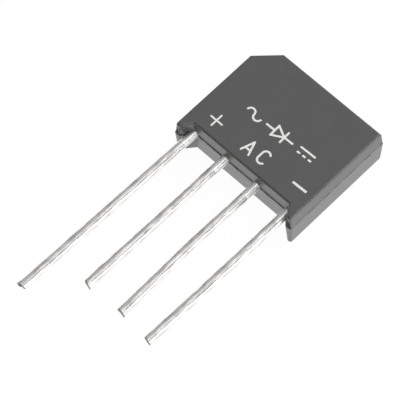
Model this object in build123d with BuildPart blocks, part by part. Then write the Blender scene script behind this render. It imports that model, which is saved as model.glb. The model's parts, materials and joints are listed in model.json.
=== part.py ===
from build123d import *
from math import cos, radians, sin, sqrt, tan, atan2
import os

# Single in-line bridge rectifier: a black moulded case, four round leads in one row,
# and inside the case four diode chips soldered between copper strips.
# It lies on its flat rear face: +Z points out of the marked front face, the leads
# point along -Y, and the + lead is the one at the -X end of the row.
# The origin is the middle of the rear face. Millimetres.

# Case, measured at the parting plane of its mould
case_width = 19.1
case_height = 16.1
back_depth = 3.9
front_depth = 2.25
corner_cut = 2.95
corner_radius = 0.45
front_edge_radius = 0.3
rear_edge_radius = 0.12
parting_ledge = 0.12
end_ledge = 0.04

# Draft of the mould in degrees. The end drafts hold for the top too
back_end_draft = 2.3
back_lead_draft = 5.5
back_foot_draft = 3.7
front_end_draft = 4.5
front_lead_draft = 0.5

# Feet, the two stand-offs at the ends of the lead side
foot_height = 1.5
foot_tip_width = 0.85
foot_root_width = 2.15
foot_root_radius = 0.5
foot_tip_radius = 0.32
foot_tip_share = 0.64
foot_front_tip_width = 0.62
foot_front_root_width = 1.6

# Leads, round wire with a coined flat inside the case. The dipped tin stops short of
# the case, in a feathered edge clear of the feet
lead_pitch = 5.08
lead_diameter = 1.2
tin_thickness = 0.01
tin_clearance = 0.5
tin_taper = 0.8
lead_length = 22.85
plus_lead_length = 28.6
minus_lead_length = 23.2
lead_root = 1.0
lead_tip_break = 0.06
tab_length = 2.5
tab_width = 1.9
tab_thickness = 0.6
tab_overlap = 0.3

# How far each lead leans in the plane of the row, in degrees, towards +X
plus_lean = -1.0
ac_1_lean = -0.55
ac_2_lean = 0.2
minus_lean = -0.6

# Diode chips and the solder that joins every inner piece to the next
chip_size = 2.4
chip_thickness = 0.3
chip_margin = 0.3
solder_thickness = 0.1
solder_inset = 0.1

# Copper strips
strip_thickness = 0.5
strip_corner = 0.6
arm_width = 2.2
arm_bend_radius = 0.4
arm_ramp_gap = 0.1
neck_width = 1.8
landing_end_gap = 0.45
plus_row = 3.6
row_spacing = 4.1

# Corners closer than this are at one level
same_level = 1e-6

# Worked out from the sizes above
lead_side = -case_height / 2 + foot_height
tin_stop = foot_height + tin_clearance
parting_height = back_depth
front_height = back_depth + front_depth
back_lead_inset = back_depth * tan(radians(back_lead_draft))
back_end_inset = back_depth * tan(radians(back_end_draft))
back_foot_inset = back_depth * tan(radians(back_foot_draft))
front_end_inset = end_ledge + front_depth * tan(radians(front_end_draft))
front_lead_inset = parting_ledge + front_depth * tan(radians(front_lead_draft))
foot_wall_angle = atan2(foot_height, foot_root_width - foot_tip_width)

pad_size = chip_size + 2 * chip_margin
minus_row = plus_row - row_spacing
tab_start = lead_side + lead_root - tab_overlap
tab_end = tab_start + tab_length
landing_start = tab_start + landing_end_gap
landing_end = tab_end + solder_inset

# Heights of the stack, from the lead tabs down towards the rear face
upper_strip = parting_height - tab_thickness / 2 - solder_thickness - strip_thickness
chip_level = upper_strip - solder_thickness - chip_thickness
lower_strip = chip_level - solder_thickness - strip_thickness

lead_places = {
    "lead_plus": (-1.5 * lead_pitch, plus_lead_length, plus_lean),
    "lead_ac_1": (-0.5 * lead_pitch, lead_length, ac_1_lean),
    "lead_ac_2": (0.5 * lead_pitch, lead_length, ac_2_lean),
    "lead_minus": (1.5 * lead_pitch, minus_lead_length, minus_lean),
}

# Each chip sits where a bar passes under a strap
chip_places = {
    "diode_chip_1": (-0.5 * lead_pitch, plus_row),
    "diode_chip_2": (0.5 * lead_pitch, plus_row),
    "diode_chip_3": (-0.5 * lead_pitch, minus_row),
    "diode_chip_4": (0.5 * lead_pitch, minus_row),
}

pieces = {}


def lead(along_row, free_length, lean):
    """One lead: round wire, tinned from clear of the feet on, coined flat inside."""
    direction = Vector(sin(radians(lean)), -cos(radians(lean)), 0)
    exit_point = Vector(along_row, lead_side, parting_height)
    wire_section = Plane(origin=exit_point, x_dir=direction, z_dir=Vector(0, 0, 1))
    tinned_radius = lead_diameter / 2
    bare_radius = tinned_radius - tin_thickness
    with BuildPart() as wire:
        with BuildSketch(wire_section):
            with BuildLine():
                Polyline(
                    (-lead_root, 0),
                    (-lead_root, bare_radius),
                    (tin_stop - tin_taper, bare_radius),
                    (tin_stop, tinned_radius),
                    (free_length - lead_tip_break, tinned_radius),
                    (free_length, tinned_radius - lead_tip_break),
                    (free_length, 0),
                    close=True,
                )
            make_face()
        revolve(axis=Axis(exit_point, direction))
        with BuildSketch(Plane.XY.offset(parting_height - tab_thickness / 2)):
            with Locations((along_row, tab_start + tab_length / 2)):
                RectangleRounded(tab_width, tab_length, tab_thickness / 2)
        extrude(amount=tab_thickness)
    return wire.part


def bar(side, row):
    """A bar under two chips, with an arm that steps up to its lead's tab."""
    arm_place = side * 1.5 * lead_pitch
    far_end = -side * (0.5 * lead_pitch + pad_size / 2)
    near_end = arm_place + side * arm_width / 2
    arm_top = row + pad_size / 2
    ramp_rise = upper_strip - lower_strip
    ramp_start = minus_row - pad_size / 2 - arm_ramp_gap
    middle = strip_thickness / 2
    with BuildPart() as strip:
        with BuildSketch(Plane.XY.offset(lower_strip)):
            with Locations(((far_end + near_end) / 2, row)):
                RectangleRounded(abs(near_end - far_end), pad_size, strip_corner)
        extrude(amount=strip_thickness)
        with BuildSketch(Plane.YZ.offset(arm_place)):
            with BuildLine():
                bend_line = FilletPolyline(
                    (arm_top - strip_corner, lower_strip + middle),
                    (ramp_start, lower_strip + middle),
                    (ramp_start - ramp_rise, upper_strip + middle),
                    (landing_start, upper_strip + middle),
                    radius=arm_bend_radius,
                )
            trace(bend_line, line_width=strip_thickness)
        extrude(amount=arm_width / 2, both=True)
    return strip.part


def strap(along_row):
    """A strap over two chips and under one AC lead's tab, necked between its pads."""
    strap_end = plus_row + pad_size / 2
    with BuildPart() as strip:
        with BuildSketch(Plane.XY.offset(upper_strip)):
            with Locations((along_row, (strap_end + landing_start) / 2)):
                Rectangle(neck_width, strap_end - landing_start)
            with Locations((along_row, plus_row), (along_row, minus_row)):
                RectangleRounded(pad_size, pad_size, strip_corner)
            with Locations((along_row, (landing_start + landing_end) / 2)):
                Rectangle(arm_width, landing_end - landing_start)
        extrude(amount=strip_thickness)
    return strip.part


def flat_block(centre, width, length, bottom, thickness):
    """A chip or a solder joint: a thin plate, its bottom at the height given."""
    with BuildPart() as plate:
        with BuildSketch(Plane.XY.offset(bottom)):
            with Locations(centre):
                Rectangle(width, length)
        extrude(amount=thickness)
    return plate.part


def narrowing(side_inset, lead_inset):
    """How much thinner a foot gets where its walls are drawn in by these insets."""
    return side_inset + lead_inset * tan(foot_wall_angle / 2)


def case_outline(height, side_inset, lead_inset, foot, tip_width, root_width):
    """The case's outline at one height, drawn in by the draft of its walls.

    side_inset draws in the top and the two ends, lead_inset the side with the feet.
    """
    end = case_width / 2 - side_inset
    top = case_height / 2 - side_inset
    bottom = lead_side + lead_inset
    tip = bottom - foot
    tip_inner = end - tip_width
    root = end - root_width
    cut = corner_cut - side_inset * (2 - sqrt(2))
    with BuildSketch(Plane.XY.offset(height)) as outline:
        with BuildLine():
            Polyline(
                (-end, tip),
                (-tip_inner, tip),
                (-root, bottom),
                (root, bottom),
                (tip_inner, tip),
                (end, tip),
                (end, top),
                (-end + cut, top),
                (-end, top - cut),
                close=True,
            )
        make_face()
        corners = outline.vertices()
        tips = corners.filter_by(lambda v: abs(v.Y - tip) < same_level)
        roots = corners.filter_by(lambda v: abs(v.Y - bottom) < same_level)
        others = corners.filter_by(lambda v: v.Y > bottom + foot)
        fillet(tips, min(foot_tip_radius, tip_width * foot_tip_share))
        fillet(roots, foot_root_radius)
        fillet(others, corner_radius)
    return outline


# Leads
for name, place in lead_places.items():
    pieces[name] = lead(*place)

# Bars and straps
pieces["plus_bar"] = bar(-1, plus_row)
pieces["minus_bar"] = bar(1, minus_row)
pieces["ac_strap_1"] = strap(-0.5 * lead_pitch)
pieces["ac_strap_2"] = strap(0.5 * lead_pitch)

# Chips, each with a solder joint below and above
joint_size = chip_size - 2 * solder_inset
for name, centre in chip_places.items():
    number = name[-1]
    pieces[name] = flat_block(centre, chip_size, chip_size, chip_level, chip_thickness)
    for end, bottom in (
        ("lower", chip_level - solder_thickness),
        ("upper", chip_level + chip_thickness),
    ):
        pieces[f"chip_solder_{number}_{end}"] = flat_block(
            centre, joint_size, joint_size, bottom, solder_thickness
        )

# Solder under the four lead tabs
for name, place in lead_places.items():
    pieces[name.replace("lead", "lead_solder")] = flat_block(
        (place[0], (landing_start + tab_end) / 2),
        tab_width - 2 * solder_inset,
        tab_end - landing_start - 2 * solder_inset,
        upper_strip + strip_thickness,
        solder_thickness,
    )

# Case, moulded in two halves and filled round everything inside
rear_outline = case_outline(
    0,
    back_end_inset,
    back_lead_inset,
    foot_height + back_lead_inset - back_foot_inset,
    foot_tip_width - narrowing(back_end_inset, back_lead_inset),
    foot_root_width - narrowing(back_end_inset, back_lead_inset),
)
back_outline = case_outline(
    parting_height, 0, 0, foot_height, foot_tip_width, foot_root_width
)
ledge_outline = case_outline(
    parting_height,
    end_ledge,
    parting_ledge,
    foot_height,
    foot_tip_width - narrowing(end_ledge, parting_ledge),
    foot_root_width - narrowing(end_ledge, parting_ledge),
)
front_outline = case_outline(
    front_height,
    front_end_inset,
    front_lead_inset,
    foot_height,
    foot_front_tip_width,
    foot_front_root_width,
)

with BuildPart() as case:
    loft(sections=[rear_outline.sketch, back_outline.sketch], ruled=True)
    rear_edges = case.faces().sort_by(Axis.Z)[0].edges()
    fillet(rear_edges, rear_edge_radius)
    loft(sections=[ledge_outline.sketch, front_outline.sketch], ruled=True)
    front_edges = case.faces().sort_by(Axis.Z)[-1].edges()
    fillet(front_edges, front_edge_radius)
    for piece in pieces.values():
        add(piece, mode=Mode.SUBTRACT)
pieces["case"] = case.part

os.makedirs("parts", exist_ok=True)
for name, piece in pieces.items():
    piece.label = name
    export_step(piece, f"parts/{name}.step")
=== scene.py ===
import json
from math import atan2, cos, pi, radians, sin, tan

import bpy
from mathutils import Matrix, Vector


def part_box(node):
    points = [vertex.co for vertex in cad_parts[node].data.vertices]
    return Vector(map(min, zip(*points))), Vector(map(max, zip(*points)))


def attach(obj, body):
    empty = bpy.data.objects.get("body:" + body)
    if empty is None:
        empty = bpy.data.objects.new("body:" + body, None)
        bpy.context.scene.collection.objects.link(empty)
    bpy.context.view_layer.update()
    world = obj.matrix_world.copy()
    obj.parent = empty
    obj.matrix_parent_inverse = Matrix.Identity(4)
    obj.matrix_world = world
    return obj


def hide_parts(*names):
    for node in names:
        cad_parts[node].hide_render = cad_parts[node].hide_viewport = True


# Looks of an in-line bridge rectifier: black moulded case, four tinned leads, white print.
# Metres, in the frame of the CAD model: +Z out of the marked face, leads along -Y.
# The part's own sizes and places are in millimetres, which mm turns into metres.

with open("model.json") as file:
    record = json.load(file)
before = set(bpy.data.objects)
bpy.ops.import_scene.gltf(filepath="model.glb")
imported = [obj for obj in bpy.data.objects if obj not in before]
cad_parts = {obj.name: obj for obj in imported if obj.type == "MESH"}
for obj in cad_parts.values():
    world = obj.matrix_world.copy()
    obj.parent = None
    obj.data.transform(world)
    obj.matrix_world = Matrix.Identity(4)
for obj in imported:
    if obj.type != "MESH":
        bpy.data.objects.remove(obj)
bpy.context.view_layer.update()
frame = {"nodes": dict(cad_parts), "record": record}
mm = 0.001


# Node expressions

class Value:
    """A shader socket that can be added, subtracted and multiplied like a number."""

    def __init__(self, nodes, socket):
        self.nodes = nodes
        self.socket = socket

    def math(self, operation, first, second):
        return self.nodes.node("ShaderNodeMath", {"operation": operation}, {0: first, 1: second})

    def __add__(self, other):
        return self.math("ADD", self, other)

    def __radd__(self, other):
        return self.math("ADD", other, self)

    def __sub__(self, other):
        return self.math("SUBTRACT", self, other)

    def __rsub__(self, other):
        return self.math("SUBTRACT", other, self)

    def __mul__(self, other):
        return self.math("MULTIPLY", self, other)

    def __rmul__(self, other):
        return self.math("MULTIPLY", other, self)


class Nodes:
    """A node tree that is built up one node at a time."""

    def __init__(self, tree):
        self.tree = tree
        tree.nodes.clear()

    def node(self, kind, settings=None, sockets=None, output=0):
        """Adds a node, with its settings first, and gives back one of its outputs."""
        made = self.tree.nodes.new(kind)
        for name, setting in (settings or {}).items():
            if name == "stops":
                self.set_stops(made.color_ramp, setting)
            else:
                setattr(made, name, setting)
        for name, value in (sockets or {}).items():
            if isinstance(value, Value):
                self.tree.links.new(value.socket, made.inputs[name])
            else:
                made.inputs[name].default_value = value
        return Value(self, made.outputs[output]) if made.outputs else None

    def set_stops(self, ramp, stops):
        """Gives a ramp as many stops as asked for, all of them grey."""
        while len(ramp.elements) > len(stops):
            ramp.elements.remove(ramp.elements[-1])
        while len(ramp.elements) < len(stops):
            ramp.elements.new(1.0)
        for element, (place, level) in zip(ramp.elements, stops):
            element.position = place
            element.color = (level, level, level, 1)

    def object_place(self):
        return self.node("ShaderNodeTexCoord", output="Object")

    def parts(self, vector):
        split = self.node("ShaderNodeSeparateXYZ", {}, {"Vector": vector})
        outputs = split.socket.node.outputs
        return [Value(self, outputs[axis]) for axis in "XYZ"]

    def stretched(self, vector, scale):
        return self.node("ShaderNodeMapping", {}, {"Vector": vector, "Scale": scale})

    def noise(self, vector, size, detail=2.0, roughness=0.5):
        """Cloudy noise from 0 to 1, whose clouds are about as large as the size given."""
        return self.node(
            "ShaderNodeTexNoise",
            {},
            {"Vector": vector, "Scale": 1 / size, "Detail": detail, "Roughness": roughness},
        )

    def steps(self, value, *stops):
        """A ramp through stops, each a place from 0 to 1 and a level."""
        return self.node("ShaderNodeValToRGB", {"stops": stops}, {"Fac": value})

    def fade(self, value, start, end, lowest=0.0):
        """Runs evenly from the lowest, where the value is at the start, to 1, at the end."""
        return self.node("ShaderNodeMapRange", {}, {
            "Value": value, "From Min": start, "From Max": end, "To Min": lowest,
        })

    def mixed(self, share, first, second):
        """Colours from the first, where the share is 0, to the second, where it is 1."""
        return self.node(
            "ShaderNodeMix", {"data_type": "RGBA"}, {0: share, 6: first, 7: second}, output=2
        )

    def bump(self, height, depth, onto=None):
        """Relief of the depth given, on top of another relief if there is one."""
        sockets = {"Height": height, "Distance": depth, "Strength": 1.0}
        if onto:
            sockets["Normal"] = onto
        return self.node("ShaderNodeBump", {}, sockets)


def finish_nodes(name):
    material = bpy.data.materials.new(name)
    material.use_nodes = True
    return material, Nodes(material.node_tree)


def surfaced(nodes, sockets):
    """Closes a finish with one surface shader."""
    shader = nodes.node("ShaderNodeBsdfPrincipled", {}, sockets)
    nodes.node("ShaderNodeOutputMaterial", {}, {"Surface": shader})


# Finishes

# The parting line's height, and how far the painted light along it reaches above and below it
parting_level = 3.9
seam_core = 0.06
seam_reach = 0.1

# Places along the leads: the stretch where the tin feathers out to bare wire, which is painted near
# white as a painted highlight, and the neck by the case, where the wire flares a little
tin_edge_start = -8.8
tin_edge_end = -8.0
neck_start = -8.6
neck_end = -6.5


def moulding_finish():
    """Filled black epoxy with a fine spark-eroded grain, painted paler in dashes along the parting
    line as painted light on the shaded ledge.
    """
    dark = (0.069, 0.068, 0.067, 1)
    light = (0.086, 0.085, 0.084, 1)
    pale = (0.25, 0.247, 0.24, 1)
    material, nodes = finish_nodes("black_epoxy")
    place = nodes.object_place()
    level = nodes.parts(place)[2]
    clouds = nodes.noise(place, size=3.5 * mm, detail=3.0)
    specks = nodes.noise(place, size=0.35 * mm)
    grain = nodes.noise(place, size=0.2 * mm, detail=1.0)
    seam_dashes = nodes.noise(place, size=0.7 * mm)
    off_seam = nodes.node(
        "ShaderNodeMath", {"operation": "ABSOLUTE"}, {0: level - parting_level * mm}
    )
    seam = nodes.fade(off_seam, seam_reach * mm, seam_core * mm)
    # Painted light: a paler band, broken into dashes, along the parting line, lightening the ledge's
    # shade
    painted_seam_light = seam * nodes.steps(seam_dashes, (0.35, 0.0), (0.6, 1.0))
    surfaced(nodes, {
        "Base Color": nodes.mixed(painted_seam_light, nodes.mixed(clouds, dark, light), pale),
        "Roughness": 0.25 + specks * 0.08,
        "IOR": 1.87,
        "Normal": nodes.bump(grain, depth=0.003 * mm),
    })
    return material


def tinned_wire_finish():
    """Bright dipped tin, drawn out in streaks along the wire. Where the dip stops short of the case
    the bare wire is painted near white and matt, partly a painted highlight for the glint there, and
    the wire shows dull metal where it was cut."""
    dull_tin = (0.72, 0.71, 0.69, 1)
    bright_tin = (1.0, 0.99, 0.97, 1)
    bare_glint_white = (0.96, 0.96, 0.95, 1)
    cut_metal = (0.11, 0.09, 0.075, 1)
    material, nodes = finish_nodes("dipped_tin")
    place = nodes.object_place()
    along_wire = nodes.parts(place)[1]
    long_place = nodes.stretched(place, (1.0, 0.2, 1.0))
    drawn_place = nodes.stretched(place, (1.0, 0.3, 1.0))
    streaks = nodes.noise(long_place, size=0.35 * mm)
    grains = nodes.noise(drawn_place, size=0.5 * mm, roughness=0.4)
    patches = nodes.noise(drawn_place, size=0.45 * mm)
    shine = streaks * 0.5 + nodes.steps(patches, (0.35, 0.0), (0.6, 1.0)) * 0.5
    tin = nodes.mixed(nodes.steps(shine, (0.3, 0.0), (0.7, 1.0)), dull_tin, bright_tin)
    # Painted highlight: the bare wire by the case is painted near white, matt and less metallic, for
    # the glint there
    bare_glint = nodes.fade(along_wire, tin_edge_start * mm, tin_edge_end * mm)
    neck = nodes.fade(along_wire, neck_start * mm, neck_end * mm)
    cut = nodes.node("ShaderNodeAttribute", {"attribute_name": "cut_end"}, output=2)
    flare = nodes.bump(neck, depth=0.35 * mm)
    waves = nodes.bump(streaks, depth=0.003 * mm, onto=flare)
    surfaced(nodes, {
        "Base Color": nodes.mixed(cut, nodes.mixed(bare_glint, tin, bare_glint_white), cut_metal),
        "Metallic": 1.0 - bare_glint * 0.3,
        "Roughness": 0.2 + grains * 0.16 + bare_glint * 0.06,
        "Normal": nodes.bump(grains, depth=0.009 * mm, onto=waves),
    })
    return material


def metal_finish(name, dark, light, patch, roughness):
    """A dull metal whose colour and polish change from patch to patch."""
    material, nodes = finish_nodes(name)
    patches = nodes.noise(nodes.object_place(), size=patch, detail=3.0)
    surfaced(nodes, {
        "Base Color": nodes.mixed(patches, dark, light),
        "Metallic": 1.0,
        "Roughness": roughness + patches * 0.15,
        "Normal": nodes.bump(patches, depth=0.02 * mm),
    })
    return material


def silicon_finish():
    """A diode chip, dark grey under a glass coat."""
    dark = (0.035, 0.035, 0.042, 1)
    light = (0.055, 0.055, 0.065, 1)
    material, nodes = finish_nodes("coated_silicon")
    patches = nodes.noise(nodes.object_place(), size=0.6 * mm)
    surfaced(nodes, {
        "Base Color": nodes.mixed(patches, dark, light),
        "Roughness": 0.15 + patches * 0.1,
    })
    return material


def ink_finish():
    """White marking ink, a little thin in places."""
    full_ink = (1.0, 1.0, 0.99, 1)
    thin_ink = (0.94, 0.94, 0.93, 1)
    material, nodes = finish_nodes("white_ink")
    thin = nodes.noise(nodes.object_place(), size=0.25 * mm, detail=3.0, roughness=0.6)
    surfaced(nodes, {
        "Base Color": nodes.mixed(thin, full_ink, thin_ink),
        "Roughness": 0.5 + thin * 0.2,
    })
    return material


moulding = moulding_finish()
dipped_tin = tinned_wire_finish()
white_ink = ink_finish()
strip_copper = metal_finish(
    "strip_copper",
    dark=(0.62, 0.30, 0.18, 1),
    light=(0.78, 0.42, 0.28, 1),
    patch=1.2 * mm,
    roughness=0.3,
)
dull_solder = metal_finish(
    "dull_solder",
    dark=(0.42, 0.42, 0.41, 1),
    light=(0.58, 0.58, 0.56, 1),
    patch=0.5 * mm,
    roughness=0.4,
)
finishes = {
    "moulding": moulding,
    "tinned_wire": dipped_tin,
    "copper_strip": strip_copper,
    "silicon": silicon_finish(),
    "solder": dull_solder,
}


# Modelling helpers. Pieces are modelled in millimetres and brought to metres when finished.

# A face looks along an axis where its normal points that way by more than this
facing = 0.9

# The sharpest edges that are still shaded smooth, on most pieces and on the case
smooth_angle = radians(40)
case_smooth_angle = radians(30)


def deselect_all():
    if bpy.context.object and bpy.context.object.mode != "OBJECT":
        bpy.ops.object.mode_set(mode="OBJECT")
    bpy.ops.object.select_all(action="DESELECT")


def choose(piece):
    deselect_all()
    piece.select_set(True)
    bpy.context.view_layer.objects.active = piece


def everywhere(element):
    return True


def edit(piece, kind, test):
    """Opens a piece for editing, with those vertices, edges or faces selected that pass a test."""
    choose(piece)
    bpy.ops.object.mode_set(mode="EDIT")
    bpy.ops.mesh.select_mode(type=kind)
    bpy.ops.mesh.select_all(action="DESELECT")
    bpy.ops.object.mode_set(mode="OBJECT")
    mesh = piece.data
    if kind == "VERT":
        for vertex in mesh.vertices:
            vertex.select = test(vertex.co)
    elif kind == "EDGE":
        for edge in mesh.edges:
            edge.select = test(*(mesh.vertices[index].co for index in edge.vertices))
    else:
        for face in mesh.polygons:
            face.select = test(face)
    bpy.ops.object.mode_set(mode="EDIT")


def settle(piece):
    """Brings a piece's place, turn and scale into its mesh."""
    choose(piece)
    bpy.ops.object.transform_apply(location=True, rotation=True, scale=True)


def scaled(piece, *scale):
    """Scales a piece about the origin, in its mesh."""
    piece.scale = scale
    settle(piece)


def apply_modifier(piece, kind, settings):
    """Adds a modifier with its settings and applies it."""
    choose(piece)
    modifier = piece.modifiers.new(kind.lower(), kind)
    for name, setting in settings.items():
        setattr(modifier, name, setting)
    bpy.ops.object.modifier_apply(modifier=modifier.name)


def boolean(piece, operation, other):
    """Joins another piece on, or cuts its shape out."""
    apply_modifier(piece, "BOOLEAN", {"operation": operation, "solver": "EXACT", "object": other})


def discard(piece):
    mesh = piece.data
    bpy.data.objects.remove(piece)
    bpy.data.meshes.remove(mesh)


def finished(piece, name, material, angle=smooth_angle):
    """Names a piece, smooths it up to an angle, and gives it its finish and body."""
    choose(piece)
    piece.name = name
    piece.data.name = name
    bpy.ops.object.shade_smooth_by_angle(angle=angle)
    piece.data.materials.clear()
    piece.data.materials.append(material)
    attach(piece, "root")


# Leads: round wire dipped in tin, sheared at the tip, coined flat inside the case

bare_radius = 0.59
tin_radius = 0.6
tin_stop = 2.0
tin_taper = 0.8
pin_tip_break = 0.06
wire_sides = 32
wire_rings = 90

# The coined end, measured from where the wire enters the case
inner_depth = 3.2
round_root = 0.7
coin_ramp = 0.3
coin_width = 1.9
coin_thickness = 0.6

# The sheared end: the extra length that is cut away, the rim's bevel, the least area of the
# cut, and how squarely the cut and its rim face along the wire
spare_end = 0.6
end_rim = 0.03
cut_area = 0.6
cut_facing = 0.7
rim_facing = 0.5

# The tin's slight waves, drawn out along the wire
lump_depth = 0.09
lump_size = 0.5
lump_stretch = 3.0
lump_middle = 0.6

tin_lumps = bpy.data.textures.new("tin_lumps", "CLOUDS")
tin_lumps.noise_scale = lump_size
tin_lumps.noise_depth = 2


def lead_measures(node_name):
    """The free length of a lead, its lean, and the point where it leaves the case."""
    pin = next(m for m in frame["record"]["mounts"] if m["name"] == node_name + "_pin")
    axis = Vector(pin["axis"])
    middle = Vector(pin["pos_m"]) / mm
    exit_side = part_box(node_name)[1].y / mm - inner_depth
    way = (exit_side - middle.y) / axis.y
    free_length = pin["dims"]["length_mm"] + tin_stop + pin_tip_break
    return free_length, atan2(axis.x, -axis.y), middle + axis * way


def coined_wire(free_length):
    """Wire along -Y that leaves the case at the origin, too long as yet: round, thicker where
    it was dipped, and coined flat at its inner end."""
    raw_length = free_length + spare_end
    deselect_all()
    bpy.ops.mesh.primitive_cylinder_add(
        vertices=wire_sides,
        radius=bare_radius,
        depth=raw_length + round_root,
        end_fill_type="NGON",
        location=(0, (round_root - raw_length) / 2, 0),
        rotation=(pi / 2, 0, 0),
    )
    wire = bpy.context.object
    settle(wire)
    edit(wire, "EDGE", lambda first, second: abs(first.y - second.y) > free_length)
    bpy.ops.mesh.subdivide(number_cuts=wire_rings)

    edit(wire, "FACE", lambda face: face.normal.y > facing)
    bpy.ops.mesh.extrude_region_move(TRANSFORM_OT_translate={"value": (0, coin_ramp, 0)})
    bpy.ops.transform.resize(value=(coin_width / (2 * bare_radius), 1, 1))
    coin_length = inner_depth - round_root - coin_ramp
    bpy.ops.mesh.extrude_region_move(TRANSFORM_OT_translate={"value": (0, coin_length, 0)})
    coin_start = round_root + coin_ramp / 2
    for side in (-1, 1):
        coin_face = side * coin_thickness / 2
        edit(wire, "VERT", lambda place: place.y > coin_start and place.z / coin_face > 1)
        bpy.ops.transform.resize(value=(1, 1, 0), center_override=(0, 0, coin_face))

    edit(wire, "VERT", lambda place: place.y < -tin_stop + tin_taper / 2)
    dipped = tin_radius / bare_radius
    bpy.ops.transform.resize(value=(dipped, 1, dipped), center_override=(0, 0, 0))
    return wire


def shear_tip(wire, free_length, slant, undercut, burr, spare):
    """Cuts a wire to its length, draws out the burr, and gives back where the tip starts."""
    reach = tin_radius * (tan(abs(slant)) + tan(undercut))
    cut_place = free_length + spare - reach - burr[1]
    edit(wire, "VERT", everywhere)
    bpy.ops.mesh.bisect(
        plane_co=(0, -cut_place, 0),
        plane_no=(tan(slant), -1, -tan(undercut)),
        use_fill=True,
        clear_outer=True,
    )
    edit(wire, "FACE", lambda face: face.normal.y < -cut_facing and face.area > cut_area)
    bpy.ops.mesh.bevel(offset=end_rim, segments=2, affect="EDGES")
    tip_start = reach + end_rim - cut_place
    if burr[0]:
        side = 1 if burr[0] > 0 else -1
        edit(wire, "VERT", lambda place: place.y < tip_start and place.x * side > tin_radius / 2)
        bpy.ops.transform.translate(value=(burr[0], -burr[1], 0))
    return tip_start


def bend_sideways(wire, free_length, bow):
    """Curves a wire sideways, most at its middle."""
    halfway = -free_length / 2
    ring = free_length / wire_rings
    edit(wire, "VERT", lambda place: abs(place.y - halfway) < ring)
    bpy.ops.transform.translate(
        value=(-bow, 0, 0),
        use_proportional_edit=True,
        proportional_edit_falloff="SMOOTH",
        proportional_size=free_length / 2,
    )


def mark_cut_end(wire, tip_start):
    """Marks the faces of the cut and its rim, which the finish shows as dull metal."""
    choose(wire)
    cut_end = wire.data.attributes.new("cut_end", "FLOAT", "FACE")
    for face in wire.data.polygons:
        cut_end.data[face.index].value = face.normal.y < -rim_facing and face.center.y < tip_start


def tinned_lead(node_name, slant, undercut, burr=(0.0, 0.0), spare=0.0, bow=0.0):
    """One lead. Its sheared end is turned by slant and leans under by undercut, burr is how far
    the end's corner on one side is drawn sideways and outwards, spare is what the burr adds to
    the length, and bow curves the wire sideways."""
    free_length, lean, exit_point = lead_measures(node_name)
    lead = coined_wire(free_length)
    tip_start = shear_tip(lead, free_length, slant, undercut, burr, spare)
    if bow:
        bend_sideways(lead, free_length, bow)
    mark_cut_end(lead, tip_start)
    lead.rotation_euler = (0, 0, lean)
    lead.location = exit_point
    settle(lead)
    scaled(lead, 1, 1 / lump_stretch, 1)
    apply_modifier(lead, "DISPLACE", {
        "texture": tin_lumps,
        "texture_coords": "LOCAL",
        "strength": lump_depth,
        "mid_level": lump_middle,
    })
    scaled(lead, 1, lump_stretch, 1)
    scaled(lead, mm, mm, mm)
    finished(lead, "tinned_" + node_name, dipped_tin)
    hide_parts(node_name)


tinned_lead("lead_plus", radians(4), radians(11), burr=(-0.06, 0.12), spare=0.02)
tinned_lead("lead_ac_1", radians(-14), 0, burr=(0.1, 0.04), spare=0.25)
tinned_lead("lead_ac_2", radians(-5), radians(3), burr=(0.12, 0.06), spare=0.06, bow=0.16)
tinned_lead("lead_minus", radians(-11), radians(2), spare=0.2, bow=-0.05)


# Print: strokes of white ink, let in just under the level of the front face

front_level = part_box("case")[1].z / mm
ink_depth = 0.02
ink_gap = 0.002
cut_height = 1.0

# A stroke's width, and the share of it by which its corners are rounded
stroke = 0.26
corner_share = 0.3
corner_steps = 3
arc_steps = 24


def raised(outline):
    """Raises a flat outline into a solid that reaches out through the front face."""
    edit(outline, "FACE", everywhere)
    bpy.ops.mesh.extrude_region_move(TRANSFORM_OT_translate={"value": (0, 0, cut_height)})
    bpy.ops.mesh.select_all(action="SELECT")
    bpy.ops.mesh.normals_make_consistent(inside=False)
    deselect_all()
    return outline


def bar_stroke(start, end, width=stroke):
    """One straight stroke between two points, with rounded ends."""
    start, end = Vector(start), Vector(end)
    run = end - start
    middle = (start + end) / 2
    deselect_all()
    bpy.ops.mesh.primitive_plane_add(size=1)
    bar = bpy.context.object
    bar.scale = (run.length + width, width, 1)
    bar.rotation_euler = (0, 0, atan2(run.y, run.x))
    bar.location = (middle.x, middle.y, front_level - ink_depth)
    settle(bar)
    edit(bar, "VERT", everywhere)
    bpy.ops.mesh.bevel(offset=width * corner_share, segments=corner_steps, affect="VERTICES")
    return raised(bar)


def arc_stroke(centre, radius, start_angle, turn):
    """One curved stroke: a short line across the stroke, spun round a centre."""
    deselect_all()
    bpy.ops.mesh.primitive_plane_add(size=1)
    arc = bpy.context.object
    edit(arc, "VERT", lambda place: place.x > 0)
    bpy.ops.mesh.delete(type="VERT")
    deselect_all()
    for vertex, reach in zip(arc.data.vertices, (radius - stroke / 2, radius + stroke / 2)):
        vertex.co = (reach * cos(start_angle), reach * sin(start_angle), 0)
    edit(arc, "VERT", everywhere)
    bpy.ops.mesh.spin(steps=arc_steps, angle=-turn, center=(0, 0, 0), axis=(0, 0, 1))
    bpy.ops.object.mode_set(mode="OBJECT")
    arc.location = (*centre, front_level - ink_depth)
    settle(arc)
    return raised(arc)


def along(origin, tilt, *points):
    """Points given along and across a line that starts at an origin and rises by a tilt."""
    return [
        (
            origin[0] + x * cos(tilt) - y * sin(tilt),
            origin[1] + x * sin(tilt) + y * cos(tilt),
        )
        for x, y in points
    ]


def path_strokes(points):
    """Straight strokes from point to point."""
    return [bar_stroke(start, end) for start, end in zip(points, points[1:])]


def plus_mark():
    (x, y), arm, width = (-6.08, -4.28), 0.87, 0.23
    return [
        bar_stroke((x - arm, y), (x + arm, y), width),
        bar_stroke((x, y - arm), (x, y + arm), width),
    ]


def minus_mark():
    start, end, width = (6.25, -4.03), (8.08, -3.97), 0.31
    return [bar_stroke(start, end, width)]


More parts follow.
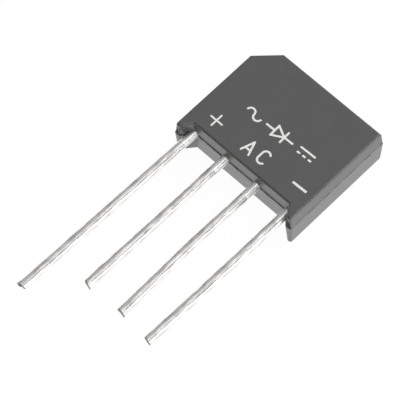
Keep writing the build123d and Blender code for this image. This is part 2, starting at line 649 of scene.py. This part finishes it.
def letter_a():
    left, right, foot, top, bar = -1.34, -0.13, -5.04, -3.3, -4.5
    middle = (left + right) / 2
    share = (bar - foot) / (top - foot)
    return [
        bar_stroke((left, foot), (middle, top)),
        bar_stroke((right, foot), (middle, top)),
        bar_stroke((left + share * (middle - left), bar), (right - share * (right - middle), bar)),
    ]


def letter_c():
    (x, y), radius, rise, gap = (1.42, -4.04), 0.55, 0.38, radians(25)
    return [
        arc_stroke((x, y + rise), radius, gap, pi - gap),
        bar_stroke((x - radius, y + rise), (x - radius, y - rise)),
        arc_stroke((x, y - rise), radius, pi, pi - gap),
    ]


def wave_sign(origin, tilt):
    """One wave, for alternating current."""
    radius = 0.55
    left, right = along(origin, tilt, (-radius, 0), (radius, 0))
    return [
        arc_stroke(left, radius, tilt, pi),
        arc_stroke(right, radius, pi + tilt, pi),
    ]


def diode_sign(origin, tilt):
    """A diode: a triangle against a bar, with its two wires."""
    reach, half, end = 0.75, 0.8, 2.0
    corners = along(origin, tilt, (-reach, -half), (reach, 0), (-reach, half), (-reach, -half))
    bar_ends = along(origin, tilt, (reach, -half), (reach, half))
    wire_ends = along(origin, tilt, (-end, 0), (-reach, 0), (reach, 0), (end, 0))
    return [
        *path_strokes(corners),
        *path_strokes(bar_ends),
        *path_strokes(wire_ends[:2]),
        *path_strokes(wire_ends[2:]),
    ]


def steady_sign(origin, tilt):
    """A long dash over short ones, for direct current."""
    level, half, spacing, half_dash = 0.38, 1.05, 0.86, 0.12
    strokes = path_strokes(along(origin, tilt, (-half, level), (half, level)))
    for middle in (-spacing, 0, spacing):
        ends = (middle - half_dash, -level), (middle + half_dash, -level)
        strokes += path_strokes(along(origin, tilt, *ends))
    return strokes


sign_tilt = radians(1.8)
marks = {
    "plus_mark": plus_mark(),
    "minus_mark": minus_mark(),
    "ac_letter_a": letter_a(),
    "ac_letter_c": letter_c(),
    "wave_sign": wave_sign((-3.4, -0.6), sign_tilt),
    "diode_sign": diode_sign((0.6, -0.45), sign_tilt),
    "steady_sign": steady_sign((4.75, -0.3), sign_tilt),
}


# Case: the moulding with the print's recesses and the round mark of an ejector pin

# The step between the two halves on the lead side, between the feet
ledge_middle = -6.49
ledge_width = 0.12
ledge_reach = 7.2
ledge_slack = 0.001
ledge_round = 0.04

ejector_place = (-4.83, 5.92)
ejector_radius = 0.4
ejector_depth = 0.02

# Corners closer than the first are one, edges flatter than the second go, and faces larger
# than the third, in square millimetres, are walls
merge_distance = 0.0001
flat_angle = radians(0.3)
wall_area = 1.0


def on_lead_ledge(first, second):
    """Whether an edge runs along the parting ledge on the lead side."""
    return all(
        abs(place.z - parting_level) < ledge_slack
        and abs(place.y - ledge_middle) < ledge_width
        and abs(place.x) < ledge_reach
        for place in (first, second)
    ) and abs(first.x - second.x) > abs(first.y - second.y)


def ejector_cutter():
    """A round punch that stands in the front face, with a bevelled end."""
    deselect_all()
    bpy.ops.mesh.primitive_cylinder_add(
        vertices=wire_sides,
        radius=ejector_radius,
        depth=cut_height,
        location=(*ejector_place, front_level - ejector_depth + cut_height / 2),
    )
    cutter = bpy.context.object
    settle(cutter)
    edit(cutter, "FACE", lambda face: face.normal.z < -facing)
    bpy.ops.mesh.bevel(offset=ejector_depth, segments=2, affect="EDGES")
    deselect_all()
    return cutter


def merged_case():
    """A copy of the solid case in millimetres, its loose triangles merged into whole faces."""
    case = bpy.data.objects.new("printed_case", frame["nodes"]["case"].data.copy())
    bpy.context.scene.collection.objects.link(case)
    scaled(case, 1 / mm, 1 / mm, 1 / mm)
    edit(case, "VERT", everywhere)
    bpy.ops.mesh.remove_doubles(threshold=merge_distance)
    bpy.ops.mesh.dissolve_limited(angle_limit=flat_angle)
    return case


def let_in_mark(case, name, strokes):
    """Joins a mark's strokes, cuts their recess, and fills it with ink to just under the face."""
    ink, *others = strokes
    for other in others:
        boolean(ink, "UNION", other)
        discard(other)
    boolean(case, "DIFFERENCE", ink)
    edit(ink, "FACE", lambda face: face.normal.z > facing)
    bpy.ops.transform.translate(value=(0, 0, ink_depth - ink_gap - cut_height))
    scaled(ink, mm, mm, mm)
    finished(ink, name, white_ink)


def square_up_walls(piece):
    """Gives the corners of every wall that wall's own normal, so that the rounded edges beside
    it don't shade it."""
    mesh = piece.data
    normals = [corner.vector.copy() for corner in mesh.corner_normals]
    for face in mesh.polygons:
        if face.area > wall_area:
            for corner in face.loop_indices:
                normals[corner] = face.normal.copy()
    mesh.normals_split_custom_set(normals)


def printed_case():
    case = merged_case()
    edit(case, "EDGE", on_lead_ledge)
    bpy.ops.mesh.bevel(offset=ledge_round, segments=2, affect="EDGES")
    cutter = ejector_cutter()
    boolean(case, "DIFFERENCE", cutter)
    discard(cutter)
    for name, strokes in marks.items():
        let_in_mark(case, name, strokes)
    edit(case, "VERT", everywhere)
    bpy.ops.mesh.dissolve_limited(angle_limit=flat_angle)
    finished(case, "printed_case", moulding, case_smooth_angle)
    apply_modifier(case, "WEIGHTED_NORMAL", {"mode": "FACE_AREA", "weight": 100, "keep_sharp": True})
    square_up_walls(case)
    scaled(case, mm, mm, mm)
    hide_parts("case")


printed_case()


# Finishes of the solids

def dress_solids():
    """Gives every solid the finish of its slot, inner ones too."""
    slots = {part["node"]: part["material_slot"] for part in frame["record"]["subparts"]}
    for node in frame["nodes"].values():
        node.data.materials.clear()
        node.data.materials.append(finishes[slots[node.name]])


dress_solids()


# Camera, at the photograph's viewing angle

camera_aim = Vector((-0.86, -12.55, 4.10)) * mm
camera_distance = 334.76 * mm
camera_azimuth = radians(45.62)
camera_elevation = radians(62.79)
camera_roll = radians(-1.76)
camera_lens = 255.5


def place_camera():
    camera_data = bpy.data.cameras.new("camera")
    camera_data.lens = camera_lens
    camera = bpy.data.objects.new("camera", camera_data)
    bpy.context.scene.collection.objects.link(camera)
    turn = (
        Matrix.Rotation(camera_azimuth, 4, "Z")
        @ Matrix.Rotation(pi / 2 - camera_elevation, 4, "X")
        @ Matrix.Rotation(camera_roll, 4, "Z")
    )
    camera.matrix_world = (
        Matrix.Translation(camera_aim) @ turn @ Matrix.Translation((0, 0, camera_distance))
    )
    bpy.context.scene.camera = camera


place_camera()


# Floor, sky and lamps, in metres

floor_size = 3
floor_cuts = 3
floor_paper = (0.9, 0.9, 0.9, 1)
floor_glow = 0.93
glow_strength = 1.03
white = (1, 1, 1, 1)

# Strips of the sky: degrees from the zenith towards +X, and how light the strip is there
sky_strips = (
    (-90, 0.14), (-65, 0.38), (-35, 0.46), (-5, 0.60), (12, 0.76), (24, 0.74),
    (32, 0.55), (40, 0.28), (60, 0.26), (67, 0.90), (72, 1.15), (90, 1.15),
)
sky_full = 1.25

# The sky's share of light in the south, and where along Y it falls to that
dark_end = 0.45
dark_start = -0.45
light_start = -0.15


def place_floor():
    """A pale floor that keeps the shadow, and looks white to the camera and in reflections."""
    deselect_all()
    bpy.ops.mesh.primitive_plane_add(size=floor_size)
    floor = bpy.context.object
    floor.name = "floor"
    edit(floor, "VERT", everywhere)
    bpy.ops.mesh.subdivide(number_cuts=floor_cuts)
    deselect_all()
    material, nodes = finish_nodes("pale_floor")
    path = "ShaderNodeLightPath"
    seen = nodes.node(path, output="Is Camera Ray") + nodes.node(path, output="Is Glossy Ray")
    paper = nodes.node("ShaderNodeBsdfDiffuse", {}, {"Color": floor_paper})
    glow = nodes.node("ShaderNodeEmission", {}, {"Color": white, "Strength": glow_strength})
    mixed = nodes.node("ShaderNodeMixShader", {}, {"Fac": seen * floor_glow, 1: paper, 2: glow})
    nodes.node("ShaderNodeOutputMaterial", {}, {"Surface": mixed})
    floor.data.materials.append(material)


def place_sky():
    """A studio tent: strips of light and shade from left to right, darker in the south."""
    world = bpy.data.worlds.new("tent")
    bpy.context.scene.world = world
    world.use_nodes = True
    nodes = Nodes(world.node_tree)
    x, y, z = nodes.parts(nodes.node("ShaderNodeTexCoord", output="Generated"))
    angle = nodes.node("ShaderNodeMath", {"operation": "ARCTAN2"}, {0: x, 1: z})
    stops = [(0.5 + place / 360, level / sky_full) for place, level in sky_strips]
    strips = nodes.steps(angle * (0.5 / pi) + 0.5, *stops)
    southern = nodes.fade(y, dark_start, light_start, lowest=dark_end)
    light = nodes.node("ShaderNodeBackground", {}, {
        "Color": strips, "Strength": southern * sky_full,
    })
    backdrop = nodes.node("ShaderNodeBackground", {}, {"Color": white, "Strength": 1.0})
    camera_ray = nodes.node("ShaderNodeLightPath", output="Is Camera Ray")
    mixed = nodes.node("ShaderNodeMixShader", {}, {"Fac": camera_ray, 1: light, 2: backdrop})
    nodes.node("ShaderNodeOutputWorld", {}, {"Surface": mixed})


def place_lamp(name, place, width, height, power):
    """A soft box that faces the part."""
    lamp_data = bpy.data.lights.new(name, "AREA")
    lamp_data.shape = "RECTANGLE"
    lamp_data.size = width
    lamp_data.size_y = height
    lamp_data.energy = power
    lamp = bpy.data.objects.new(name, lamp_data)
    bpy.context.scene.collection.objects.link(lamp)
    lamp.location = place
    lamp.rotation_euler = (-Vector(place)).to_track_quat("-Z", "Y").to_euler()


place_floor()
place_sky()
place_lamp("right_box", (1.35, 0.25, 0.30), width=2.0, height=0.55, power=4.1)
place_lamp("back_box", (0.30, 0.95, 0.75), width=1.0, height=0.7, power=7.5)
place_lamp("top_box", (0.42, -0.06, 1.12), width=0.25, height=0.6, power=1.0)

bpy.context.scene.view_settings.view_transform = "Standard"
